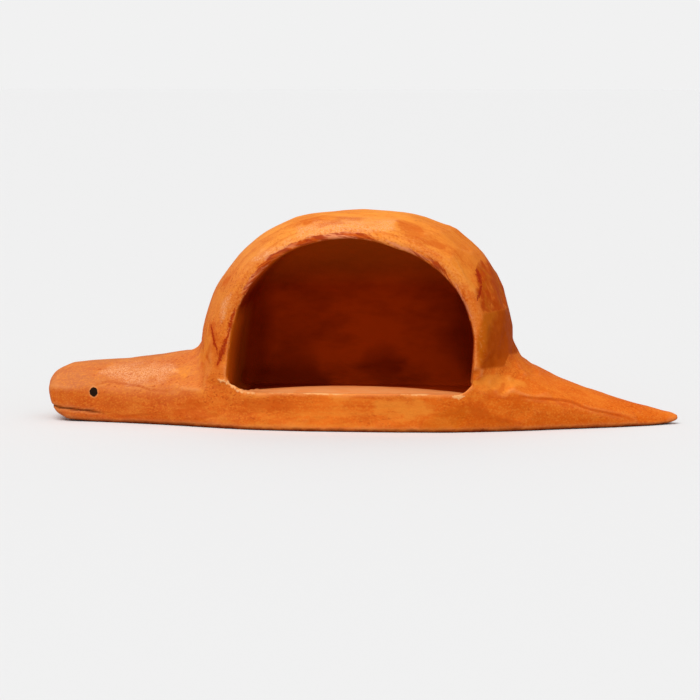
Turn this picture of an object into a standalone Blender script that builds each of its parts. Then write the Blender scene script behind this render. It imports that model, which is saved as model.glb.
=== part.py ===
"""Carved wooden figurine of a low, legless animal under a domed shell.

The whole animal is one block of wood: a blunt head on the left, a long base, a tail that
runs out to a point, and a shell that is hollowed from the near side into an arched niche.
X runs from the nose to the tail, the niche opens towards -Y, and Z is up. Units are metres.
"""

import math
import random

import bmesh
import bpy
from mathutils import Vector

# Overall sizes of the carving, its height before the knife's flats
LENGTH = 0.250
WIDTH = 0.074
HEIGHT = 0.0845

# Shell: how far the head and neck stand out before it, how long it is, and the block it rises from
HEAD_REACH = 0.0593
SHELL_LENGTH = 0.1268
BASE_HEIGHT = 0.015
BODY_HEIGHT = 0.028

# Niche: the wall left round its mouth and behind it, and the gouged floor inside, whose dish and
# crown run over these shares of its depth
RIM_WALL = 0.0028
BACK_WALL = 0.0220
NICHE_CORNER = 0.0040
FLOOR_DISH = 0.0024
FLOOR_CROWN = 0.0028
DISH_SHARE = 0.45
CROWN_SHARE = 0.80

# Mouth: a knife line round the nose
MOUTH_HEIGHT = 0.0034
MOUTH_REACH = 0.0165
MOUTH_START = 0.0030
MOUTH_DEPTH = 0.0005

# Knife work: how far apart the flats are, how deep they cut, how far they wander as a share of
# both, how far the low body's edges wander, its bevelled foot, and what the near side loses
FACET_SPAN = 0.0170
FACET_DEPTH = 0.0008
WANDER_SHARE = 0.25
EDGE_WANDER = 0.0005
FOOT_BEVEL = 0.0010
NEAR_SKIN = 0.0004
SEED = 11

# Roundness of the shell: exponents of its arch at the rim, towards the head and towards the tail,
# of its plan and of its section before and behind, and how far on the near section would swell
RIM_EXPONENT = 2.40
HEAD_EXPONENT = 2.30
TAIL_EXPONENT = 2.70
PLAN_EXPONENT = 2.2
FRONT_EXPONENT = 3.2
BACK_EXPONENT = 2.5
SWELL_SHARE = 1.52

# Low body across its width: where the shoulder stands, how far up its slope, and the narrow ridge
SHOULDER_SHARE = 0.68
SLOPE_SHARE = 0.62
RIDGE_SHARE = 0.25

WOOD = (0.78, 0.25, 0.05, 1.0)
WOOD_ROUGHNESS = 0.55

# The low body's stations, nose to tail: share of the length, then half width as a share of
# half the width, and the underside, side edge and ridge as shares of BODY_HEIGHT
STATIONS = (
    (0.000, 0.20, 0.360, 0.45, 0.58),
    (0.005, 0.28, 0.250, 0.47, 0.65),
    (0.016, 0.34, 0.110, 0.48, 0.71),
    (0.034, 0.38, 0.030, 0.49, 0.78),
    (0.080, 0.41, 0.000, 0.48, 0.83),
    (0.130, 0.48, 0.000, 0.45, 0.86),
    (0.185, 0.58, 0.000, 0.46, 0.93),
    (0.235, 0.69, 0.000, 0.50, 1.01),
    (0.285, 0.82, 0.000, 0.53, 1.08),
    (0.340, 0.93, 0.000, 0.54, 1.10),
    (0.420, 0.99, 0.000, 0.54, 1.10),
    (0.540, 1.00, 0.000, 0.54, 1.10),
    (0.640, 0.97, 0.000, 0.54, 1.18),
    (0.710, 0.86, 0.000, 0.55, 1.28),
    (0.737, 0.80, 0.000, 0.54, 1.08),
    (0.765, 0.74, 0.000, 0.50, 0.84),
    (0.812, 0.61, 0.000, 0.40, 0.63),
    (0.860, 0.49, 0.000, 0.28, 0.48),
    (0.910, 0.36, 0.000, 0.17, 0.34),
    (0.955, 0.22, 0.000, 0.10, 0.24),
    (0.985, 0.10, 0.020, 0.09, 0.17),
    (1.000, 0.03, 0.060, 0.10, 0.13),
)

NOSE = -LENGTH / 2
SHELL_MIDDLE = NOSE + HEAD_REACH + SHELL_LENGTH / 2
SHELL_REACH = WIDTH / 2
SHELL_RISE = HEIGHT - BASE_HEIGHT
ARCH_STEPS = 28
BACK_FLAT = 0.0006
OVERRUN = 0.0075


def clear_scene():
    for obj in list(bpy.data.objects):
        bpy.data.objects.remove(obj, do_unlink=True)


def collection(name):
    made = bpy.data.collections.new(name)
    bpy.context.scene.collection.children.link(made)
    return made


def mesh_object(name, bm, group):
    bmesh.ops.recalc_face_normals(bm, faces=bm.faces)
    mesh = bpy.data.meshes.new(name)
    bm.to_mesh(mesh)
    bm.free()
    obj = bpy.data.objects.new(name, mesh)
    group.objects.link(obj)
    return obj


def loft(name, rings, group):
    """Closed skin over rings with the same number of points."""
    bm = bmesh.new()
    rows = [[bm.verts.new(p) for p in ring] for ring in rings]
    for row, following in zip(rows, rows[1:]):
        for i, vert in enumerate(row):
            j = (i + 1) % len(row)
            bm.faces.new((vert, row[j], following[j], following[i]))
    bm.faces.new(rows[0])
    bm.faces.new(rows[-1])
    return mesh_object(name, bm, group)


def rounded(share, exponent):
    """Size left, from 1 to 0, at this share of the way out from the middle."""
    return (1 - min(1.0, abs(share)) ** exponent) ** (1 / exponent)


def half_width(x):
    """Half width of the low body at x, on straight lines between its stations."""
    share = (x - NOSE) / LENGTH
    for low, high in zip(STATIONS, STATIONS[1:]):
        if share <= high[0]:
            part = max(0.0, (share - low[0]) / (high[0] - low[0]))
            return (low[1] + (high[1] - low[1]) * part) * WIDTH / 2
    return STATIONS[-1][1] * WIDTH / 2


def body_section(station, rng):
    """Ring round the low body: flat underside, upright sides, sloping shoulders, narrow ridge."""
    share, wide, under, side, ridge = station
    x = NOSE + share * LENGTH
    w = wide * WIDTH / 2
    low, edge, top = (BODY_HEIGHT * s for s in (under, side, ridge))
    bevel = min(FOOT_BEVEL, w / 4)
    ring = []
    for hand, skin in ((-1, NEAR_SKIN), (1, 0.0)):
        shoulder = edge + (top - edge) * SLOPE_SHARE
        slip = min(EDGE_WANDER, w / 8)
        half = [
            (w + skin - bevel, low),
            (w + skin, low + bevel),
            (w + skin, edge + rng.uniform(-slip, slip)),
            (w * SHOULDER_SHARE + rng.uniform(-slip, slip), shoulder + rng.uniform(-slip, slip)),
            (w * RIDGE_SHARE + rng.uniform(-slip, slip), top),
        ]
        points = [Vector((x, hand * y, z)) for y, z in half]
        ring += points if hand < 0 else points[::-1]
    return ring


def low_body(group):
    rng = random.Random(SEED)
    return loft("carved_animal", [body_section(s, rng) for s in STATIONS], group)


def arch_point(y, half_length, height, turn, power):
    """Point of an upright arch at one depth, from the tail side (0) over to the head side (pi)."""
    c, s = math.cos(turn), max(0.0, math.sin(turn))
    return Vector(
        (
            SHELL_MIDDLE + half_length * math.copysign(abs(c) ** (2 / power), c),
            y,
            BASE_HEIGHT + height * s ** (2 / power),
        )
    )


def arch_ring(y, half_length, height, foot, power):
    """Upright arch across the shell at one depth, standing on the level foot."""
    ring = [Vector((SHELL_MIDDLE - half_length, y, foot))]
    for i in range(ARCH_STEPS + 1):
        turn = math.pi * (1 - i / ARCH_STEPS)
        ring.append(arch_point(y, half_length, height, turn, power(turn)))
    ring.append(Vector((SHELL_MIDDLE + half_length, y, foot)))
    return ring


def shell_size(y):
    """Half length and rise of the shell's outside at this depth."""
    if y < 0:
        out = y / (SHELL_REACH * SWELL_SHARE)
        section = FRONT_EXPONENT
    else:
        out = y / SHELL_REACH
        section = BACK_EXPONENT
    return SHELL_LENGTH / 2 * rounded(out, PLAN_EXPONENT), SHELL_RISE * rounded(out, section)


def shell_power(y):
    """Roundness of the shell's arch at this depth: even at the rim, squarer to the tail farther in."""
    inward = min(1.0, max(0.0, 1 + y / SHELL_REACH))

    def power(turn):
        full = HEAD_EXPONENT if turn > math.pi / 2 else TAIL_EXPONENT
        return RIM_EXPONENT + (full - RIM_EXPONENT) * inward

    return power


def shell(group):
    """Outside of the shell, run on past the near side so that the trim leaves a clean face."""
    front = -SHELL_REACH - OVERRUN
    back = SHELL_REACH - BACK_FLAT
    steps = 12
    rings = []
    for i in range(steps + 1):
        y = front + (back - front) * math.sin(math.pi / 2 * i / steps)
        half_length, rise = shell_size(y)
        rings.append(arch_ring(y, half_length, rise, BASE_HEIGHT / 2, shell_power(y)))
    obj = loft("shell", rings, group)
    knife_facets(obj)
    return obj


def knife_facets(obj):
    """Flats left by the knife: planes that shave the shell, spaced a facet apart all over it."""
    rng = random.Random(SEED)
    bm = bmesh.new()
    bm.from_mesh(obj.data)
    rows = round((SHELL_REACH + SHELL_RISE) / FACET_SPAN)
    for row in range(rows):
        middle_y = SHELL_REACH * (2 * math.sin(math.pi / 2 * (row + 0.5) / rows) - 1)
        half_length, rise = shell_size(middle_y)
        around = max(4, round(math.pi * (half_length + rise) / 2 / FACET_SPAN))
        for i in range(around):
            turn = math.pi * (i + 0.5 + rng.uniform(-WANDER_SHARE, WANDER_SHARE)) / around
            y = middle_y + FACET_SPAN * rng.uniform(-WANDER_SHARE, WANDER_SHARE)
            depth = FACET_DEPTH * (1 + rng.uniform(-WANDER_SHARE, WANDER_SHARE))
            point, normal = shell_tangent(turn, min(y, SHELL_REACH - FACET_DEPTH * 2))
            shave(bm, point - normal * depth, normal)
    bm.to_mesh(obj.data)
    bm.free()


def shell_tangent(turn, y):
    """Point on the shell's outside and the direction that it faces."""
    step = math.radians(1)

    def outside(around, depth):
        half_length, rise = shell_size(depth)
        return arch_point(depth, half_length, rise, around, shell_power(depth)(around))

    turn = min(max(turn, step), math.pi - step)
    along = outside(turn + step, y) - outside(turn - step, y)
    reach = step * SHELL_REACH
    across = outside(turn, y + reach) - outside(turn, y - reach)
    normal = across.cross(along).normalized()
    point = outside(turn, y)
    if normal.dot(point - Vector((SHELL_MIDDLE, 0, BASE_HEIGHT))) < 0:
        normal.negate()
    return point, normal


def shave(bm, point, normal):
    """Cut away what stands outside a plane and close the cut with one flat face."""
    parts = bm.verts[:] + bm.edges[:] + bm.faces[:]
    cut = bmesh.ops.bisect_plane(
        bm, geom=parts, plane_co=point, plane_no=normal, clear_outer=True, dist=1e-7
    )
    rim = [e for e in cut["geom_cut"] if isinstance(e, bmesh.types.BMEdge)]
    if rim:
        bmesh.ops.edgeloop_fill(bm, edges=rim)


def front_trim(group):
    """Cutter before the near side: its back follows the plan of the low body and fades out at its ends."""
    first = SHELL_MIDDLE - SHELL_LENGTH / 2
    steps = 16
    line = []
    for i in range(steps + 1):
        x = first + SHELL_LENGTH * i / steps
        fade = 3 * NEAR_SKIN if i in (0, steps) else 0.0
        line.append((x, -half_width(x) - fade))
    outline = [(line[0][0], -WIDTH)] + line + [(line[-1][0], -WIDTH)]
    rings = [[Vector((x, y, z)) for x, y in outline] for z in (-BASE_HEIGHT, HEIGHT + BASE_HEIGHT)]
    return loft("front_trim", rings, group)


def niche(group):
    """Cutter for the hollow: an arch run straight in from the rim, rounded where it meets the back."""
    front = -SHELL_REACH
    back = SHELL_REACH - BACK_WALL
    mouth_length, mouth_rise = shell_size(front)
    straight = 8
    depths = [front - 2 * OVERRUN]
    depths += [front + (back - NICHE_CORNER - front) * i / straight for i in range(straight)]
    corner = 4
    depths += [back - NICHE_CORNER * (1 - math.sin(math.pi / 2 * i / corner)) for i in range(corner + 1)]
    rings = []
    for y in depths:
        past = max(0.0, y - (back - NICHE_CORNER)) / NICHE_CORNER
        inset = NICHE_CORNER * (1 - math.sqrt(max(0.0, 1 - past * past)))
        part = min(1.0, max(0.0, (y - front) / (back - front)))
        rings.append(niche_ring(y, mouth_length - RIM_WALL - inset, mouth_rise - RIM_WALL - inset, part))
    return loft("niche_cutter", rings, group)


def niche_ring(y, half_length, height, part):
    """Arch of the hollow at one depth, closed by the gouged floor: crowned before, sunk behind."""
    dish = FLOOR_DISH * max(0.05, min(1.0, part / DISH_SHARE))
    crown = FLOOR_CROWN * math.sin(math.pi * min(1.0, part / CROWN_SHARE))
    ring = arch_ring(y, half_length, height, BASE_HEIGHT - dish, lambda turn: RIM_EXPONENT)
    steps = 10
    for i in range(1, steps):
        share = 1 - 2 * i / steps
        z = BASE_HEIGHT - dish + crown * (1 - share * share)
        ring.append(Vector((SHELL_MIDDLE + half_length * share, y, z)))
    return ring


def mouth_line(group):
    """Cutter for the mouth: a thin tube laid along the sides of the head and round the nose."""
    steps = 8
    points = []
    for i in range(steps + 1):
        x = NOSE + MOUTH_START + (MOUTH_REACH - MOUTH_START) * (1 - i / steps)
        points.append((x, -half_width(x) - NEAR_SKIN))
    points += [(x, half_width(x)) for x, _ in reversed(points)]
    curve = bpy.data.curves.new("mouth_line", "CURVE")
    curve.dimensions = "3D"
    curve.bevel_depth = MOUTH_DEPTH
    curve.bevel_resolution = 1
    curve.use_fill_caps = True
    spline = curve.splines.new("POLY")
    spline.points.add(len(points) - 1)
    for point, (x, y) in zip(spline.points, points):
        point.co = (x, y, MOUTH_HEIGHT, 1)
    guide = bpy.data.objects.new("mouth_guide", curve)
    group.objects.link(guide)
    graph = bpy.context.evaluated_depsgraph_get()
    mesh = bpy.data.meshes.new_from_object(guide.evaluated_get(graph))
    bm = bmesh.new()
    bm.from_mesh(mesh)
    bmesh.ops.remove_doubles(bm, verts=bm.verts, dist=1e-6)
    cutter = mesh_object("mouth_cutter", bm, group)
    bpy.data.objects.remove(guide)
    return cutter


def combine(obj, other, operation):
    modifier = obj.modifiers.new(f"{operation.lower()}_{other.name}", "BOOLEAN")
    modifier.operation = operation
    modifier.object = other
    other.hide_render = True
    other.display_type = "WIRE"


def wood():
    material = bpy.data.materials.new("stained_wood")
    material.use_nodes = True
    shader = material.node_tree.nodes["Principled BSDF"]
    shader.inputs["Base Color"].default_value = WOOD
    shader.inputs["Roughness"].default_value = WOOD_ROUGHNESS
    return material


def main():
    clear_scene()
    figurine = collection("wooden_figurine")
    cutters = collection("cutters")
    body = low_body(figurine)
    combine(body, shell(cutters), "UNION")
    combine(body, front_trim(cutters), "DIFFERENCE")
    combine(body, niche(cutters), "DIFFERENCE")
    combine(body, mouth_line(cutters), "DIFFERENCE")
    body.data.materials.append(wood())


main()
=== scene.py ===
import math

import bmesh
import bpy
import numpy as np
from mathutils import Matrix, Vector, noise as scatter


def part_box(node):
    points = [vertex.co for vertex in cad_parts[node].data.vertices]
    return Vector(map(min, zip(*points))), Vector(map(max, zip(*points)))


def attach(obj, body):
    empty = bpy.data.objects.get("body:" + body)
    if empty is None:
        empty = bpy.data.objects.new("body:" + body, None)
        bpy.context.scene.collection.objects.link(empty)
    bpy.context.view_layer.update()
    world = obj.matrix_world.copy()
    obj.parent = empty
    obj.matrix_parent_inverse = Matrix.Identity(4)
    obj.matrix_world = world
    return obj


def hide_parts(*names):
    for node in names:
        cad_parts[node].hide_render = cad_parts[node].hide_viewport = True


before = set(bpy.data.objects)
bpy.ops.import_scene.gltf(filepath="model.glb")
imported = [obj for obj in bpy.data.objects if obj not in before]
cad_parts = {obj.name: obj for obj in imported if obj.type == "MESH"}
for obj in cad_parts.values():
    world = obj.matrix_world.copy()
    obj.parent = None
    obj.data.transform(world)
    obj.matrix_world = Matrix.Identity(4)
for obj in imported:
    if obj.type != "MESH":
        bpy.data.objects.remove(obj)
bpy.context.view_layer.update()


# The roughed-out block: one piece of pale wood, sawn and hewn to the animal's form.
# It starts as a copy of the measured solid, given an even, fine skin that tools can mark.
SKIN = 0.00062

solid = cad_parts["carved_animal"]
low_corner, high_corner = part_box("carved_animal")
NOSE = low_corner.x
TAIL_TIP = high_corner.x


def as_object(name, mesh):
    made = bpy.data.objects.new(name, mesh)
    bpy.context.scene.collection.objects.link(made)
    return made


def evaluated_mesh(obj):
    """Plain mesh of an object with its modifiers applied."""
    graph = bpy.context.evaluated_depsgraph_get()
    graph.update()
    return bpy.data.meshes.new_from_object(obj.evaluated_get(graph))


def apply_modifier(obj, modifier):
    mesh = evaluated_mesh(obj)
    obj.modifiers.remove(modifier)
    obj.data = mesh


def roughed_out():
    bm = bmesh.new()
    bm.from_mesh(solid.data)
    bmesh.ops.remove_doubles(bm, verts=bm.verts, dist=1e-6)
    mesh = bpy.data.meshes.new("block")
    bm.to_mesh(mesh)
    bm.free()
    block = as_object("block", mesh)
    skin = block.modifiers.new("skin", "REMESH")
    skin.mode = "VOXEL"
    skin.voxel_size = SKIN
    apply_modifier(block, skin)
    return block


figurine = roughed_out()


# The places of the work: which parts of the skin are hollow, torn, shell or kept crisp, and how far
# round the arch of the niche each point lies. They are kept as numbers on the skin's points, most
# of them shares from 0 to 1, and the tools and stains follow them.
SILL = 0.015
SHELL_MIDDLE = -0.0023
MOUTH_HALF = 0.0475
MOUTH_RISE = 0.0603
ARCH = 2.4
NICHE_BACK = 0.015
RIM_WIDTH = 0.0028
FLOOR_CREST = -0.0165
TORN_TURNS = ((82, 136, 1.0), (40, 66, 0.55))
CORNER_FILLS = (
    # where it leaves the wall, where it meets the sill, how high it stands, how hollow its slope is
    (-0.0500, -0.0445, 0.0040, 0.8),
    (0.0445, 0.0375, 0.0035, 2.2),
)
FILL_DEPTH = 0.0060
FILL_FADE = 1.8


def points_of(mesh):
    co = np.empty(len(mesh.vertices) * 3)
    mesh.vertices.foreach_get("co", co)
    return co.reshape(-1, 3)


def normals_of(mesh):
    normal = np.empty(len(mesh.vertices) * 3)
    mesh.vertices.foreach_get("normal", normal)
    return normal.reshape(-1, 3)


def move_points(mesh, co):
    mesh.vertices.foreach_set("co", co.ravel())
    mesh.update()


def step(value, start, end):
    """Smooth share, 0 at start and 1 at end."""
    t = np.clip((value - start) / (end - start), 0, 1)
    return t * t * (3 - 2 * t)


def keep_share(mesh, name, values):
    layer = mesh.attributes.get(name) or mesh.attributes.new(name, "FLOAT", "POINT")
    layer.data.foreach_set("value", values.astype(np.float32))


def near_side(co):
    """Where the near foot of the body runs, as a function of x, read from the skin itself."""
    foot = co[(co[:, 2] > 0.002) & (co[:, 2] < 0.006)]
    stops = np.linspace(NOSE, TAIL_TIP, 61)
    edge = [foot[np.abs(foot[:, 0] - s) < 0.004][:, 1].min(initial=0.0) for s in stops]
    return lambda x: np.interp(x, stops, edge)


def arch_share(co):
    """1 on the niche's wall, less inside it and more outside it."""
    out = np.abs(co[:, 0] - SHELL_MIDDLE) / MOUTH_HALF
    up = np.maximum(co[:, 2] - SILL, 0) / MOUTH_RISE
    return (out ** ARCH + up ** ARCH) ** (1 / ARCH)


def arch_turn(co):
    """Degrees round the arch, from its foot at the tail (0) to its foot at the head (180)."""
    return np.degrees(np.arctan2(np.maximum(co[:, 2] - SILL, 0), co[:, 0] - SHELL_MIDDLE))


def corner_rise(co):
    """How far the wood left in the two corners of the niche's mouth stands over the sill."""
    total = np.zeros(len(co))
    for wall, foot, height, slope in CORNER_FILLS:
        along = (co[:, 0] - foot) / (wall - foot)
        total += height * np.clip(along, 0, 1) ** slope * step(along, FILL_FADE, 1.0)
    depth = co[:, 1] - near_side(co)(co[:, 0])
    return total * step(depth, FILL_DEPTH, 0.5 * FILL_DEPTH)


def mark_places(mesh):
    co, normal = points_of(mesh), normals_of(mesh)
    depth = co[:, 1] - near_side(co)(co[:, 0])
    arch, turn = arch_share(co), arch_turn(co)
    rim = RIM_WIDTH / MOUTH_HALF
    front = step(depth, 0.0020, 0.0008)
    before_back = step(co[:, 1], NICHE_BACK + 0.003, NICHE_BACK + 0.0015)
    within = step(arch, 1 + 0.4 * rim, 1 + 0.1 * rim) * step(co[:, 2], SILL - 0.0036, SILL - 0.0026)
    deep = step(depth, 0.0002, 0.0014) * before_back
    under = step(co[:, 2], SILL + 0.0002, SILL - 0.0006) * step(depth, 0.006, 0.004)
    toe = step(co[:, 2], SILL + 0.0012, SILL + 0.0004) * (corner_rise(co) > 0.0001)
    hollow = within * deep * (1 - np.maximum(under, toe))
    floor = hollow * step(normal[:, 2], 0.55, 0.85) * step(co[:, 2], SILL + 0.003, SILL + 0.0015)
    ring = step(arch, 1 - 0.3 * rim, 1 - 0.1 * rim) * step(co[:, 2], SILL - 0.001, SILL + 0.004)
    edge = ring * step(arch, 1 + 0.45 * rim, 1 + 0.20 * rim) * step(depth, 0.0022, 0.0012)
    wide = ring * step(arch, 1 + 1.0 * rim, 1 + 0.65 * rim) * step(depth, 0.0040, 0.0026)
    torn = 0.40 * edge
    for first, last, strength in TORN_TURNS:
        along = step(turn, first - 8, first + 4) * step(turn, last + 6, last - 4)
        torn = np.maximum(torn, strength * wide * along)
    lip = step(arch, 1.01, 1.04) * step(arch, 1.30, 1.16) * step(depth, 0.010, 0.005)
    sill_line = step(np.abs(co[:, 2] - SILL), 0.0022, 0.0012) * front * step(arch, 1.0, 0.97)
    bottom = within * step(co[:, 2], SILL + 0.0030, SILL + 0.0015) * before_back
    underside = step(co[:, 2], 0.0016, 0.0008)
    near_wall = front * step(co[:, 2], SILL + 0.002, SILL - 0.001)
    keep_share(mesh, "hollow", hollow)
    keep_share(mesh, "floor", floor * step(co[:, 1], FLOOR_CREST + 0.001, FLOOR_CREST - 0.001))
    keep_share(mesh, "torn", torn)
    keep_share(mesh, "lip", lip * step(co[:, 2], SILL - 0.002, SILL + 0.004))
    tip = 0.9 * step(co[:, 0], TAIL_TIP - 0.006, TAIL_TIP - 0.003)
    nose = 0.38 * step(co[:, 0], NOSE + 0.018, NOSE + 0.010)
    head = 0.5 * step(co[:, 0], NOSE + 0.034, NOSE + 0.026) + nose
    keep_share(mesh, "crisp", np.maximum.reduce([sill_line, 0.8 * edge, underside, bottom, tip, head]))
    shell = step(co[:, 2], 0.030, 0.040)
    calm = 0.6 * shell * step(co[:, 0], -0.008, -0.026)
    outside = (1 - underside) * (1 - 0.8 * hollow) * (1 - 0.6 * near_wall) * (1 - 0.8 * torn)
    middle = 1 - 0.6 * step(np.abs(co[:, 0] - SHELL_MIDDLE), 0.060, 0.085)
    keep_share(mesh, "knife", outside * middle * (1 - calm))
    keep_share(mesh, "arch", arch)
    keep_share(mesh, "turn", turn / 180)
    keep_share(mesh, "shell", shell * (1 - within * deep) * step(co[:, 1], 0.014, -0.006))


# The gouged mouth of the niche wanders from a true arch: fuller towards the tail, lower at its
# shoulders, tucked in at its right foot. Wood was left in both corners, broken off in the left.
MOUTH_WANDER = (
    # degrees round the arch, from its foot at the tail, and how far out the mouth is pushed there
    (0, -0.0014), (12, -0.0004), (24, 0.0016), (42, 0.0018), (58, -0.0004), (72, -0.0020),
    (90, -0.0008), (105, -0.0014), (125, -0.0010), (145, -0.0002), (180, 0.0),
)


def wander_mouth(mesh):
    co = points_of(mesh)
    arch, turn = arch_share(co), arch_turn(co)
    depth = co[:, 1] - near_side(co)(co[:, 0])
    stops, pushes = zip(*MOUTH_WANDER)
    push = np.interp(turn, stops, pushes)
    inside = step(arch, 0.55, 0.97) * step(co[:, 1], NICHE_BACK + 0.003, NICHE_BACK - 0.004)
    outside = step(arch, 1.30, 1.05) * step(depth, 0.014, 0.004)
    field = np.where(arch < 1.02, inside, outside) * step(co[:, 2], SILL - 0.0005, SILL + 0.002)
    away = co - np.array((SHELL_MIDDLE, 0.0, SILL))
    away[:, 1] = 0
    away /= np.maximum(np.linalg.norm(away, axis=1, keepdims=True), 1e-6)
    move_points(mesh, co + away * (push * field)[:, None])


def fill_corners(mesh):
    """Lifts the sill up its walls in the two corners, and the wood above and below it less."""
    co = points_of(mesh)
    level = co[:, 2] - SILL
    co[:, 2] += corner_rise(co) * step(level, -0.007, 0.0) * step(level, 0.010, 0.0)
    move_points(mesh, co)


mark_places(figurine.data)
wander_mouth(figurine.data)
fill_corners(figurine.data)


# The knife: flats pared one beside the other over the outside, and soft joins where the neck and
# the tail run into the shell. Rubbing down has rounded the neck and the lip of the shell.
FLAT_SPACING = 0.0105
FLAT_DEPTH = 0.00018
FLAT_TILT = 0.045
FLAT_SETS = 3
DEEPEST_CUT = -0.0007
HIGHEST_RIDGE = 0.0004
# For each square metre, before the spacing thins them
MOST_FLATS = 1e6
JOIN_SOFTNESS = 90
RUBBED = 56
CARVING_SEED = 5


def add(tree, kind, values=(), **settings):
    """Adds a node, sets it up, and fills or links its inputs."""
    node = tree.nodes.new(kind)
    for name, value in settings.items():
        setattr(node, name, value)
    for key, value in dict(values).items():
        if isinstance(value, bpy.types.NodeSocket):
            tree.links.new(value, node.inputs[key])
        else:
            node.inputs[key].default_value = value
    return node


def calc(tree, operation, a, b=0.0, c=0.0):
    return add(tree, "ShaderNodeMath", {0: a, 1: b, 2: c}, operation=operation).outputs[0]


def vector(tree, operation, a, b=(0.0, 0.0, 0.0)):
    node = add(tree, "ShaderNodeVectorMath", {0: a, 1: b}, operation=operation)
    return node.outputs["Value" if operation == "DOT_PRODUCT" else "Vector"]


def scaled(tree, a, scale):
    return add(tree, "ShaderNodeVectorMath", {0: a, "Scale": scale}, operation="SCALE").outputs["Vector"]


def ranged(tree, value, start, end, low=0.0, high=1.0):
    values = {0: value, 1: start, 2: end, 3: low, 4: high}
    return add(tree, "ShaderNodeMapRange", values, clamp=True).outputs[0]


def position(tree):
    return add(tree, "GeometryNodeInputPosition").outputs[0]


def normal(tree):
    return add(tree, "GeometryNodeInputNormal").outputs[0]


def named(tree, name, kind="FLOAT"):
    return add(tree, "GeometryNodeInputNamedAttribute", {"Name": name}, data_type=kind).outputs["Attribute"]


def blurred(tree, value, steps, weight=1.0, kind="FLOAT_VECTOR"):
    node = add(tree, "GeometryNodeBlurAttribute", {"Value": value, "Iterations": steps, "Weight": weight},
               data_type=kind)
    return node.outputs["Value"]


def stored(tree, geometry, name, value, kind="FLOAT"):
    return add(tree, "GeometryNodeStoreNamedAttribute",
               {"Geometry": geometry, "Name": name, "Value": value},
               data_type=kind, domain="POINT").outputs["Geometry"]


def moved(tree, geometry, offset):
    return add(tree, "GeometryNodeSetPosition", {"Geometry": geometry, "Offset": offset}).outputs[0]


def placed(tree, geometry, place):
    return add(tree, "GeometryNodeSetPosition", {"Geometry": geometry, "Position": place}).outputs[0]


def bend(tree, steps):
    """How far the skin bends in (over 0) or out (under 0) here, in metres, at this reach."""
    shift = vector(tree, "SUBTRACT", blurred(tree, position(tree), steps), position(tree))
    return vector(tree, "DOT_PRODUCT", shift, normal(tree))


def start_tree(name, floats, integers):
    tree = bpy.data.node_groups.new(name, "GeometryNodeTree")
    face = tree.interface
    face.new_socket("Geometry", in_out="INPUT", socket_type="NodeSocketGeometry")
    for title in floats:
        face.new_socket(title, in_out="INPUT", socket_type="NodeSocketFloat")
    for title in integers:
        face.new_socket(title, in_out="INPUT", socket_type="NodeSocketInt")
    face.new_socket("Material", in_out="INPUT", socket_type="NodeSocketMaterial")
    face.new_socket("Geometry", in_out="OUTPUT", socket_type="NodeSocketGeometry")
    return tree, tree.nodes.new("NodeGroupInput").outputs


def end_tree(tree, geometry, given):
    whole = add(tree, "GeometryNodeRealizeInstances", {"Geometry": geometry}).outputs[0]
    covered = add(tree, "GeometryNodeSetMaterial", {"Geometry": whole, "Material": given["Material"]})
    tree.links.new(covered.outputs[0], add(tree, "NodeGroupOutput").inputs["Geometry"])
    return tree


def run_tree(block, tree, values):
    """Runs a geometry tree on the block with these named inputs and keeps the plain mesh."""
    tool = block.modifiers.new(tree.name, "NODES")
    tool.node_group = tree
    for item in tree.interface.items_tree:
        if item.in_out == "INPUT" and item.name in values:
            tool[item.identifier] = values[item.name]
    apply_modifier(block, tool)


def flat_set(tree, geometry, given, seed):
    """Offset along the normal that pares each point down to the nearest flat of one set, and its tint."""
    spread = add(tree, "GeometryNodeDistributePointsOnFaces",
                 {"Mesh": geometry, "Distance Min": given["Flat Spacing"],
                  "Density Max": MOST_FLATS, "Seed": seed},
                 distribute_method="POISSON")
    tip = add(tree, "FunctionNodeRandomValue",
              {0: (-1.0, -1.0, -1.0), 1: (1.0, 1.0, 1.0), "Seed": seed}, data_type="FLOAT_VECTOR")
    tipped = scaled(tree, tip.outputs[0], given["Flat Tilt"])
    facing = vector(tree, "NORMALIZE", vector(tree, "ADD", spread.outputs["Normal"], tipped))
    flats = stored(tree, spread.outputs["Points"], "facing", facing, "FLOAT_VECTOR")
    index = add(tree, "GeometryNodeSampleNearest", {"Geometry": flats, "Sample Position": position(tree)},
                domain="POINT").outputs["Index"]

    def of_flat(value):
        return add(tree, "GeometryNodeSampleIndex", {"Geometry": flats, "Value": value, "Index": index},
                   data_type="FLOAT_VECTOR").outputs["Value"]

    facing = of_flat(named(tree, "facing", "FLOAT_VECTOR"))
    above = vector(tree, "SUBTRACT", of_flat(position(tree)), position(tree))
    slant = calc(tree, "MAXIMUM", vector(tree, "DOT_PRODUCT", normal(tree), facing), 0.5)
    height = calc(tree, "DIVIDE", vector(tree, "DOT_PRODUCT", above, facing), slant)
    tint = add(tree, "FunctionNodeRandomValue", {2: 0.0, 3: 1.0, "ID": index, "Seed": seed},
               data_type="FLOAT").outputs[1]
    return calc(tree, "SUBTRACT", height, given["Flat Depth"]), tint


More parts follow.
